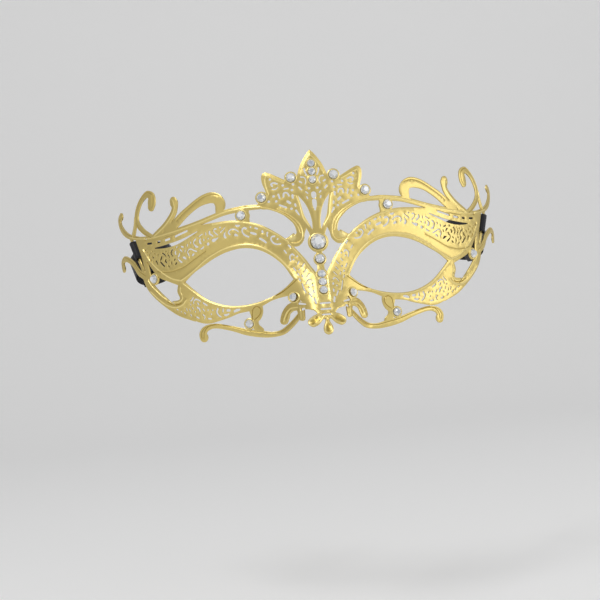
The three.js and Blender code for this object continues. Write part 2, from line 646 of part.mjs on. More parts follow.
const mask = new THREE.Group();
const frame = new THREE.Mesh(maskFrame(), gold);
frame.name = "mask_frame";
mask.add(frame);
for (const { name, at, size } of stoneShares) {
  if (at[0] === 0) {
    addStone(mask, `stone_${name}`, at, size);
    continue;
  }
  addStone(mask, `stone_${name}_right`, at, size);
  addStone(mask, `stone_${name}_left`, [-at[0], at[1]], size);
}
addRibbons(mask);
// The origin moves to the back of the nose strip on the line of the eyes
const bridge = bent(0, 0).addScaledVector(facing(0, 0), -sheetThickness / 2);
mask.children.forEach((piece) => piece.position.sub(bridge));

const model = new THREE.Group();
model.add(mask);
export default model;
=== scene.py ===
# Venetian masquerade mask: one etched, gold-plated sheet bent round the face, crystal stones glued
# on its pads, and a rolled satin ribbon folded over the bar at each end.
# Metres, +X to the viewer's right, -Y out of the front, +Z up. The origin is at the back of the nose
# strip on the line of the eyes.
import math

import bmesh
import bpy
import numpy as np
from mathutils import Matrix, Vector
from mathutils.geometry import delaunay_2d_cdt


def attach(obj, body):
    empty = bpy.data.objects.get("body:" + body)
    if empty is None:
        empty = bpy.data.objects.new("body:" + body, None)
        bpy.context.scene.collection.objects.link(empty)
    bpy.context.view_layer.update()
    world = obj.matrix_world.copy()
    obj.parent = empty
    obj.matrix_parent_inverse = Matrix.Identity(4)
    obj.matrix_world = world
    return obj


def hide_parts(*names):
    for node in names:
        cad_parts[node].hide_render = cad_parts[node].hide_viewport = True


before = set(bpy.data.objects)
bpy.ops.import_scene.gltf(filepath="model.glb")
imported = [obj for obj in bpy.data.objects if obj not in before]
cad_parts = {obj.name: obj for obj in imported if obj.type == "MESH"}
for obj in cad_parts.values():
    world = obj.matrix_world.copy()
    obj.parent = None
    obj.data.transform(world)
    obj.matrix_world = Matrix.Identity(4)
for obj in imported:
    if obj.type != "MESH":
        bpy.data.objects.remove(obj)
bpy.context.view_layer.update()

# Camera. It stands a little to the left of the mask and level with the eyes, tilted as the
# photograph is, with the mask in the upper half of a square picture.
turn, lift, tilt = math.radians(-3.29), math.radians(-0.26), math.radians(4.71)
distance, aside, above, focal_length = 0.5756, -0.0105, -0.013, 77.28
backward = Vector((math.sin(turn) * math.cos(lift), -math.cos(turn) * math.cos(lift), math.sin(lift)))
level = Vector((math.cos(turn), math.sin(turn), 0))
upward = level.cross(-backward)
camera_right = math.cos(tilt) * level - math.sin(tilt) * upward
camera_up = math.sin(tilt) * level + math.cos(tilt) * upward
camera = bpy.data.objects.new("camera", bpy.data.cameras.new("camera"))
bpy.context.scene.collection.objects.link(camera)
camera.data.lens = focal_length
camera.matrix_world = Matrix((camera_right, camera_up, backward)).transposed().to_4x4()
camera.matrix_world.translation = backward * distance + level * aside + upward * above
camera.data.clip_start = 0.01
bpy.context.scene.camera = camera

# The bend of the sheet, in millimetres on the flat blank: the same curve that the solids have.
# Across runs along the sheet from the nose line, rise runs up from the line of the eyes.
half_span, sheet_height, sheet_thickness = 100, 84, 0.7
bend_radius = 101
nose_slope, nose_top, nose_blend, nose_strip, nose_flank = 0.6, 5, 8, 8, 18
crown_lean, lean_depth, lean_rise = 7.1, 11, 65


def bent(across, rise):
    across, rise = np.asarray(across, float), np.asarray(rise, float)
    fall = nose_top - rise
    ridge = nose_slope * (np.hypot(fall, nose_blend) + fall) / 2
    away = np.clip((abs(across) - nose_strip / 2) / nose_flank, 0, 1)
    flank = 1 - away * away * (3 - 2 * away)
    lean = (np.maximum(rise + lean_depth, 0) / lean_rise) ** 2
    depth = bend_radius * (1 - np.cos(across / bend_radius)) - ridge * flank + crown_lean * lean
    return np.stack([bend_radius * np.sin(across / bend_radius), depth, rise + 0 * across], -1)


def facing(across, rise):
    probe = sheet_thickness / 10
    along = bent(across + probe, rise) - bent(across - probe, rise)
    steep = bent(across, rise + probe) - bent(across, rise - probe)
    normal = np.cross(along, steep)
    return normal / np.linalg.norm(normal, axis=-1, keepdims=True)


bridge = bent(0, 0) - facing(0, 0) * sheet_thickness / 2


def on_sheet(across, rise, height=0):
    """Places of points of the blank, height millimetres in front of the sheet's middle, in metres."""
    across, rise, height = np.broadcast_arrays(across, rise, height)
    return (bent(across, rise) + facing(across, rise) * np.asarray(height, float)[..., None] - bridge) / 1000


def new_piece(name, bm, material, body):
    mesh = bpy.data.meshes.new(name)
    bm.to_mesh(mesh)
    bm.free()
    piece = bpy.data.objects.new(name, mesh)
    bpy.context.scene.collection.objects.link(piece)
    mesh.materials.append(material)
    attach(piece, body)
    return piece


# Ribbons. Each is a 450 mm length of black satin, 10 mm wide, folded over its strap bar, stitched
# to itself behind the bar, and rolled up for storage behind the end of the sheet, where a loop of
# tape holds the roll. Its run is laid out by formula, with no cloth simulation.
ribbon_length, ribbon_width, ribbon_pitch, ribbon_thickness = 450, 10, 0.86, 0.3
bar_half_width, fold_room = 0.99, 0.55  # fold_room: from the bar's corners to the ribbon's middle
fold_radius = math.hypot(bar_half_width, sheet_thickness / 2) + fold_room
tail_length, seam_length, roll_setback, roll_bore = 8, 4.4, 14.4, 3.5
bar_top, bar_foot, bar_middle = (105, 24.108), (94, 5.88), (99.5, 14.952)
fold_drop = 8.7  # from the bar's upper end down to the middle of the ribbon
steps_per_turn = 48
bar_line = bent(*bar_top) - bent(*bar_foot)
bar_line /= np.linalg.norm(bar_line)
fold_middle = (bent(*bar_top) - bar_line * fold_drop - bridge) / 1000
lead_line = -facing(*bar_middle)
lead_line -= bar_line * (lead_line @ bar_line)
lead_line /= np.linalg.norm(lead_line)
side_line = np.cross(lead_line, bar_line)

seam = np.array([tail_length - seam_length, ribbon_pitch - fold_radius])
fold_start = math.atan2(seam[1], seam[0]) + math.acos(fold_radius / np.linalg.norm(seam))
fold_turn = 1.5 * math.pi - fold_start
rolled = ribbon_length - tail_length - fold_turn * fold_radius - roll_setback
roll_radius = math.sqrt(rolled * ribbon_pitch / math.pi + roll_bore ** 2)
roll_turns = (roll_radius - roll_bore) / ribbon_pitch
roll_middle = np.array([roll_setback, roll_radius - fold_radius])
tail_run = [(tail_length - t * seam_length, seam[1]) for t in np.linspace(0, 1, 7)[:-1]]
fold_angles = np.linspace(fold_start, 1.5 * math.pi, 25)
fold_run = [(fold_radius * math.cos(a), fold_radius * math.sin(a)) for a in fold_angles]
lead_run = [(t * roll_setback, -fold_radius) for t in np.linspace(0, 1, 17)[1:-1]]
roll_run = []
for t in np.linspace(0, roll_turns, int(roll_turns * steps_per_turn)):
    reach = roll_radius - ribbon_pitch * t
    swing = 2 * math.pi * t
    roll_run.append((roll_middle[0] + reach * math.sin(swing), roll_middle[1] - reach * math.cos(swing)))
ribbon_run = np.array([*tail_run, tuple(seam), *fold_run, *lead_run, *roll_run])


def by_the_bar(points, side):
    """Points drawn behind the right strap bar, in millimetres, in their place on that side of the mask."""
    points = np.asarray(points, float)
    axes = np.stack([lead_line, side_line, -bar_line])
    return (fold_middle + points @ axes / 1000) * (side, 1, 1)


def surface_grain():
    """Fine unevenness of a plated, woven or cut surface: a value that changes over it, and a height."""
    group = bpy.data.node_groups.new("surface_grain", "ShaderNodeTree")
    for name in ("Size", "Contrast"):
        group.interface.new_socket(name, in_out="INPUT", socket_type="NodeSocketFloat")
    for name in ("Value", "Height"):
        group.interface.new_socket(name, in_out="OUTPUT", socket_type="NodeSocketFloat")
    nodes, links = group.nodes, group.links
    inputs, outputs = nodes.new("NodeGroupInput"), nodes.new("NodeGroupOutput")
    place = nodes.new("ShaderNodeTexCoord")
    broad, fine = nodes.new("ShaderNodeTexNoise"), nodes.new("ShaderNodeTexNoise")
    broad.inputs["Scale"].default_value = 60
    broad.inputs["Detail"].default_value = 4
    fine.inputs["Detail"].default_value = 2
    links.new(place.outputs["Object"], broad.inputs["Vector"])
    links.new(place.outputs["Object"], fine.inputs["Vector"])
    links.new(inputs.outputs["Size"], fine.inputs["Scale"])
    spread = nodes.new("ShaderNodeMapRange")
    links.new(broad.outputs["Fac"], spread.inputs["Value"])
    spread.inputs["From Min"].default_value = 0.3
    spread.inputs["From Max"].default_value = 0.7
    links.new(inputs.outputs["Contrast"], spread.inputs["To Max"])
    links.new(spread.outputs["Result"], outputs.inputs["Value"])
    links.new(fine.outputs["Fac"], outputs.inputs["Height"])
    return group


grain_group = surface_grain()


def grain_node(nodes, size):
    """The shared grain placed in a material, with its fine unevenness at one size."""
    grain = nodes.new("ShaderNodeGroup")
    grain.node_tree = grain_group
    grain.inputs["Size"].default_value = size
    grain.inputs["Contrast"].default_value = 1
    return grain


def new_material(name, color, roughness, **values):
    material = bpy.data.materials.new(name)
    material.use_nodes = True
    shader = material.node_tree.nodes["Principled BSDF"]
    shader.inputs["Base Color"].default_value = (*color, 1)
    shader.inputs["Roughness"].default_value = roughness
    for socket, value in values.items():
        shader.inputs[socket.replace("_", " ")].default_value = value
    return material, material.node_tree.nodes, material.node_tree.links, shader


def mixed_color(nodes, links, factor, plain, changed):
    mix = nodes.new("ShaderNodeMix")
    mix.data_type = "RGBA"
    mix.inputs[6].default_value = (*plain, 1)
    mix.inputs[7].default_value = (*changed, 1)
    links.new(factor, mix.inputs[0])
    return mix.outputs[2]


def bump_from(nodes, links, height, distance, shader):
    bump = nodes.new("ShaderNodeBump")
    bump.inputs["Distance"].default_value = distance
    bump.inputs["Strength"].default_value = 1
    links.new(height, bump.inputs["Height"])
    links.new(bump.outputs["Normal"], shader.inputs["Normal"])


satin, nodes, links, shader = new_material(
    "black_satin", (0.012, 0.012, 0.016), 0.45, Specular_IOR_Level=0.3, Sheen_Weight=0.05)
weave_map = nodes.new("ShaderNodeUVMap")
weave_map.uv_map = "weave"
twill = nodes.new("ShaderNodeTexWave")
twill.wave_type, twill.bands_direction = "BANDS", "DIAGONAL"
twill.inputs["Scale"].default_value = 900
twill.inputs["Distortion"].default_value = 0.6
links.new(weave_map.outputs["UV"], twill.inputs["Vector"])
grain = grain_node(nodes, 5000)
tone = mixed_color(nodes, links, grain.outputs["Value"], (0.005, 0.005, 0.008), (0.015, 0.015, 0.02))
links.new(tone, shader.inputs["Base Color"])
bump_from(nodes, links, twill.outputs["Fac"], 0.00004, shader)

thread, nodes, links, shader = new_material("black_thread", (0.03, 0.03, 0.035), 0.7)
grain = grain_node(nodes, 9000)
tone = mixed_color(nodes, links, grain.outputs["Value"], (0.02, 0.02, 0.023), (0.05, 0.05, 0.055))
links.new(tone, shader.inputs["Base Color"])
bump_from(nodes, links, grain.outputs["Height"], 0.0001, shader)


def strip_along(run, width, columns):
    """A strip drawn out across the bar along a run, with its length and width in metres as its map."""
    bm = bmesh.new()
    step = width / columns
    first = [bm.verts.new((x, y, -width / 2)) for x, y in run]
    row = [bm.edges.new(pair) for pair in zip(first, first[1:])]
    for _ in range(columns):
        made = bmesh.ops.extrude_edge_only(bm, edges=row)["geom"]
        corners = [v for v in made if isinstance(v, bmesh.types.BMVert)]
        bmesh.ops.translate(bm, verts=corners, vec=(0, 0, step))
        row = [e for e in made if isinstance(e, bmesh.types.BMEdge)]
        row = [e for e in row if abs(e.verts[0].co.z - e.verts[1].co.z) < step / 2]
    lengths = np.concatenate([[0], np.cumsum(np.linalg.norm(np.diff(run, axis=0), axis=1))])
    along = {(round(x, 5), round(y, 5)): length for (x, y), length in zip(run, lengths)}
    weave = bm.loops.layers.uv.new("weave")
    for face in bm.faces:
        face.smooth = True
        for loop in face.loops:
            x, y, z = loop.vert.co
            length = min(along.items(), key=lambda item: abs(item[0][0] - x) + abs(item[0][1] - y))[1]
            loop[weave].uv = (length / 1000, z / 1000)
    return bm


def behind_the_bar(bm, side):
    """Carries a piece drawn behind the right bar to its place on one side of the mask."""
    bm.verts.ensure_lookup_table()
    places = by_the_bar([v.co[:] for v in bm.verts], side)
    for vert, spot in zip(bm.verts, places):
        vert.co = spot
    bmesh.ops.recalc_face_normals(bm, faces=bm.faces)


stitch_rows, stitch_reach, stitches_per_row = (4.3, 5.1, 5.9, 6.7), 4.2, 8
stitch_width, stitch_length, stitch_edge, stitch_lift = 0.16, 0.75, 0.06, 0.2
tie_width, tie_thickness, tie_corner = 3, 0.4, 0.9
bore_room, tie_room, tie_room_outside = 0.4, 0.5, 0.7  # what the tape keeps clear of the roll

for side, hand in ((1, "right"), (-1, "left")):
    body = f"{hand}_ribbon_body"
    bm = strip_along(ribbon_run, ribbon_width, 6)
    behind_the_bar(bm, side)
    ribbon = new_piece(f"{hand}_satin_ribbon", bm, satin, body)
    wall = ribbon.modifiers.new("thickness", "SOLIDIFY")
    wall.thickness, wall.offset = ribbon_thickness / 1000, 0
    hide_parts(f"{hand}_ribbon")

    # Stitches that close the fold behind the bar
    bm = bmesh.new()
    for x in stitch_rows:
        for z in np.linspace(-stitch_reach, stitch_reach, stitches_per_row):
            made = bmesh.ops.create_cube(bm, size=1)["verts"]
            bmesh.ops.scale(bm, verts=made, vec=(stitch_width, stitch_width, stitch_length))
            bmesh.ops.translate(bm, verts=made, vec=(x, seam[1] + stitch_lift, z))
    bmesh.ops.bevel(bm, geom=bm.edges[:], offset=stitch_edge, offset_type="OFFSET", segments=2,
                    profile=0.5, affect="EDGES", material=-1)
    behind_the_bar(bm, side)
    stitches = new_piece(f"{hand}_stitches", bm, thread, body)

    # Tape loop through the bore of the roll and round its outside, its ends joined
    room_in = math.sqrt((roll_bore - bore_room) ** 2 - (tie_width / 2) ** 2) - tie_room
    room_out = roll_radius + tie_room_outside
    reach, corner = ribbon_width / 2 + tie_room, tie_corner
    bends = ((reach - corner, room_in + corner, -90), (reach - corner, room_out - corner, 0),
             (corner - reach, room_out - corner, 90), (corner - reach, room_in + corner, 180))
    loop_run = []
    for cz, cy, start in bends:
        for angle in np.radians(np.linspace(start, start + 90, 7)):
            loop_run.append((cz + corner * math.cos(angle), cy + corner * math.sin(angle)))
    loop_run.append(loop_run[0])
    bm = strip_along(np.array(loop_run), tie_width, 3)
    for vert in bm.verts:
        z, y, x = vert.co
        vert.co = (roll_middle[0] + x, roll_middle[1] + y, z)
    behind_the_bar(bm, side)
    bmesh.ops.remove_doubles(bm, verts=bm.verts, dist=0.00001)
    tie = new_piece(f"{hand}_tape_tie", bm, thread, body)
    wall = tie.modifiers.new("thickness", "SOLIDIFY")
    wall.thickness, wall.offset = tie_thickness / 1000, 0
    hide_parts(f"{hand}_ribbon_tie")

# Sheet. One 0.7 mm blank is etched through from the front, which leaves soft shoulders, raised rim
# lines and engraved lines, then gold plated and bent round the face. Its right half is drawn flat, in
# shares of the half span and of the height, cut into triangles, mirrored, thickened and bent.

# Outlines, which repeat the solids' own apart from the inner curl. In an arm, a slit or a stroke the
# third number of a point is its width there: a share of the plain width.
surround = (
    ((0.985, 0.262),),
    ((0.86, 0.25), (0.72, 0.262), (0.585, 0.296)),
    ((0.49, 0.302), (0.395, 0.304), (0.315, 0.29), (0.245, 0.26), (0.19, 0.22), (0.14, 0.172),
     (0.1, 0.115), (0.065, 0.06), (0.04, 0.01), (0.018, -0.03)),
    ((-0.03, -0.03),),
    ((-0.03, -0.268),),
    ((0.028, -0.264),),
    ((0.035, -0.245), (0.046, -0.225), (0.062, -0.208)),
    ((0.105, -0.16), (0.145, -0.127)),
    ((0.2, -0.138), (0.235, -0.15), (0.275, -0.172), (0.325, -0.193)),
    ((0.39, -0.202), (0.437, -0.219), (0.496, -0.235), (0.544, -0.244), (0.6, -0.232),
     (0.69, -0.18)),
    ((0.75, -0.105),),
    ((0.7, -0.095), (0.712, -0.055), (0.705, -0.018)),
    ((0.755, 0.003), (0.83, 0.038), (0.862, 0.072), (0.93, 0.16)),
    ((0.985, 0.262),),
)
eye = (
    ((0.662, -0.005),),
    ((0.615, 0.035), (0.55, 0.075), (0.485, 0.112), (0.42, 0.137), (0.345, 0.148), (0.275, 0.132),
     (0.215, 0.092), (0.165, 0.035), (0.125, -0.045)),
    ((0.17, -0.09), (0.225, -0.125), (0.31, -0.153), (0.395, -0.16), (0.465, -0.148),
     (0.55, -0.108), (0.615, -0.052), (0.662, -0.005)),
)
crown = (
    ((-0.03, 0.17),),
    ((-0.03, 0.6),),
    ((0, 0.653),),
    ((0.018, 0.629), (0.035, 0.6), (0.049, 0.572), (0.062, 0.535), (0.072, 0.495)),
    ((0.124, 0.495),),
    ((0.158, 0.518), (0.186, 0.536), (0.21, 0.548)),
    ((0.223, 0.543), (0.231, 0.525), (0.229, 0.485), (0.219, 0.45), (0.215, 0.415)),
    ((0.262, 0.375),),
    ((0.247, 0.351), (0.21, 0.343), (0.164, 0.319), (0.126, 0.288), (0.104, 0.255), (0.094, 0.221),
     (0.092, 0.18)),
    ((0.062, 0.165),),
    ((0.056, 0.198), (0.047, 0.224)),
    ((0.038, 0.2), (0.03, 0.17)),
    ((-0.03, 0.17),),
)
lens = (
    ((0.071, 0.405),),
    ((0.061, 0.35), (0.051, 0.294), (0.037, 0.257), (0.02, 0.215)),
    ((0.019, 0.258), (0.028, 0.315), (0.045, 0.363), (0.071, 0.405)),
)
arms = {
    "brow bar": ((0.25, 0.362, 0.9), (0.308, 0.364, 1.1), (0.366, 0.359, 1.1), (0.426, 0.35, 1.1),
        (0.487, 0.332, 1.1), (0.553, 0.312, 1.1), (0.64, 0.292, 1.1), (0.74, 0.275, 1.1),
        (0.86, 0.262, 1.1), (0.96, 0.27, 0.9), (1.05, 0.287, 0.9)),
    "inner curl": ((0.15, 0.322, 0.6), (0.113, 0.288, 1), (0.085, 0.25, 1.1), (0.075, 0.21, 1.4),
        (0.083, 0.178, 2.2), (0.1, 0.167, 2.8), (0.135, 0.16, 1.6)),
    "tall curl": ((0.85, 0.264, 1), (0.922, 0.308, 1.2), (0.968, 0.357, 1.4), (0.974, 0.4, 1.4),
        (0.953, 0.449, 1.3), (0.918, 0.49, 1.2), (0.87, 0.516, 1.5), (0.841, 0.496, 2.1),
        (0.843, 0.46, 2.4), (0.849, 0.44, 2)),
    "tall strand": ((0.985, 0.39, 1), (0.997, 0.339, 1.1), (1.022, 0.285, 1.3)),
    "outer curl": ((0.97, 0.272, 0.9), (1.045, 0.288, 1.1), (1.11, 0.317, 1.4), (1.158, 0.36, 1.5),
        (1.17, 0.4, 1.5), (1.142, 0.42, 1.7)),
    "short curl": ((0.84, 0.268, 1.3), (0.764, 0.315, 1.5), (0.725, 0.352, 1.5), (0.699, 0.387, 1.5),
        (0.69, 0.413, 1.5), (0.692, 0.44, 2.1), (0.695, 0.452, 1.9)),
    "brow leaf": ((0.75, 0.285, 1.5), (0.705, 0.313, 1.9), (0.638, 0.368, 1.8), (0.599, 0.395, 1.7),
        (0.559, 0.42, 1.8), (0.518, 0.437, 2.1), (0.478, 0.442, 2.3), (0.45, 0.428, 2.3),
        (0.439, 0.4, 2.4), (0.446, 0.36, 1.7)),
    "brow post": ((0.313, 0.365, 0.9), (0.313, 0.285, 0.9)),
    "strap bar": ((1.05, 0.287, 0.9), (0.995, 0.178, 0.9), (0.94, 0.07, 0.9)),
    "slot strip": ((0.98, 0.262, 1.3), (0.946, 0.185, 1.4), (0.918, 0.1, 1.5), (0.903, 0.03, 1.5)),
    "strut": ((0.945, 0.066, 1.6), (0.91, 0.003, 2.2), (0.87, -0.042, 2.2), (0.818, -0.088, 2),
        (0.759, -0.135, 1.7), (0.703, -0.173, 1.5), (0.62, -0.213, 1)),
    "cheek curl": ((0.93, 0.045, 1.4), (0.989, 0.08, 1.5), (1.029, 0.123, 1.3), (1.083, 0.156, 1.2),
        (1.135, 0.167, 1.3), (1.168, 0.147, 1.3), (1.158, 0.112, 1.7)),
    "connector": ((0.309, -0.16, 2.8), (0.306, -0.197, 2.9), (0.308, -0.222, 2.4), (0.316, -0.251, 1.5),
        (0.312, -0.278, 1.4), (0.298, -0.305, 1.9)),
    "lower scroll": ((0.579, -0.318, 2), (0.583, -0.3, 1.8), (0.572, -0.277, 1.4), (0.543, -0.262, 1.1),
        (0.507, -0.26, 1), (0.462, -0.27, 1), (0.411, -0.286, 1.1), (0.361, -0.305, 1.3),
        (0.292, -0.321, 1.4), (0.236, -0.329, 1.1), (0.193, -0.32, 1.1), (0.164, -0.296, 1),
        (0.139, -0.268, 0.9), (0.115, -0.235, 0.8)),
    "cheek leaf": ((0.045, -0.2, 1.3), (0.087, -0.189, 1.4), (0.118, -0.187, 1.8), (0.146, -0.192, 1.7),
        (0.167, -0.213, 1.5), (0.177, -0.24, 1.6), (0.183, -0.262, 1.5)),
    "cheek stub": ((0.108, -0.2, 1.4), (0.107, -0.253, 1.1)),
    "cheek post": ((0.13, -0.135, 0.8), (0.128, -0.185, 0.8)),
    "nose strip": ((0, 0.145, 1.1), (0, -0.05, 1.6)),
    "middle drop": ((0, -0.25, 0.9), (0, -0.28, 0.9), (0, -0.302, 1.7), (0, -0.32, 2)),
    "side drop": ((0.018, -0.243, 1.1), (0.047, -0.267, 1.9), (0.064, -0.279, 1.8)),
}
slits = (
    ((0.9, 0.234, 1), (0.864, 0.233, 1)),
    ((0.82, 0.234, 1.1), (0.803, 0.236, 1.1)),
    ((0.766, 0.239, 1.1), (0.736, 0.244, 1.1)),
    ((0.7, 0.253, 1.1), (0.627, 0.275, 1.1)),
    ((0.845, 0.203, 0.5), (0.797, 0.203, 1.2), (0.749, 0.207, 1.7), (0.693, 0.217, 1.7),
     (0.642, 0.234, 1.2), (0.57, 0.265, 0.5)),
    ((0.033, 0.548, 0.9), (0.03, 0.53, 0.8), (0.023, 0.513, 0.7)),
    ((0.05, 0.505, 0.9), (0.037, 0.502, 0.6), (0.03, 0.482, 0.5), (0.035, 0.464, 0.4)),
    ((0.058, 0.481, 0.9), (0.05, 0.474, 0.8)),
    ((0.063, 0.45, 0.9), (0.054, 0.436, 0.9)),
    ((0.034, 0.422, 0.7), (0.027, 0.414, 0.7)),
    ((0.032, 0.395, 0.7), (0.029, 0.385, 0.7)),
    ((0, 0.408, 2.4), (0, 0.396, 2.3)),
    ((0, 0.37, 2.1), (0, 0.345, 1.9), (0, 0.32, 0.6)),
    ((0.184, 0.468, 0.8), (0.188, 0.481, 1), (0.175, 0.486, 0.9), (0.161, 0.479, 0.8)),
    ((0.185, 0.452, 0.6), (0.172, 0.45, 0.7), (0.161, 0.458, 0.6)),
    ((0.16, 0.421, 0.9), (0.155, 0.399, 0.8)),
    ((0.158, 0.362, 0.9), (0.129, 0.346, 0.9)),
    ((0.131, 0.447, 0.8), (0.114, 0.449, 0.8)),
    ((0.137, 0.405, 0.9), (0.134, 0.425, 0.9), (0.12, 0.425, 0.8), (0.112, 0.408, 0.8)),
    ((0.096, 0.409, 1.2), (0.096, 0.395, 0.9)),
    ((0.12, 0.378, 1.2), (0.11, 0.368, 1.2)),
    ((0.088, 0.36, 0.9), (0.086, 0.35, 0.9)),
    ((0.086, 0.325, 1), (0.074, 0.3, 0.6)),
    ((-0.02, -0.183, 1), (0.02, -0.183, 1)),
    ((-0.02, -0.214, 1), (0.02, -0.214, 1)),
    ((-0.016, -0.243, 1), (0.016, -0.243, 1)),
    ((0.045, -0.155, 0.9), (0.04, -0.18, 0.9)),
    ((0.112, -0.175, 1.1), (0.085, -0.182, 0.6)),
    ((0.1, -0.207, 1.3), (0.092, -0.203, 0.8)),
)
dots = ((0.908, 0.261), (0.019, 0.44), (0.192, 0.507), (0.136, 0.468), (0.089, 0.469),
        (0.096, 0.438), (0.182, 0.413), (0.172, 0.384), (0.206, 0.386), (0.106, 0.337))
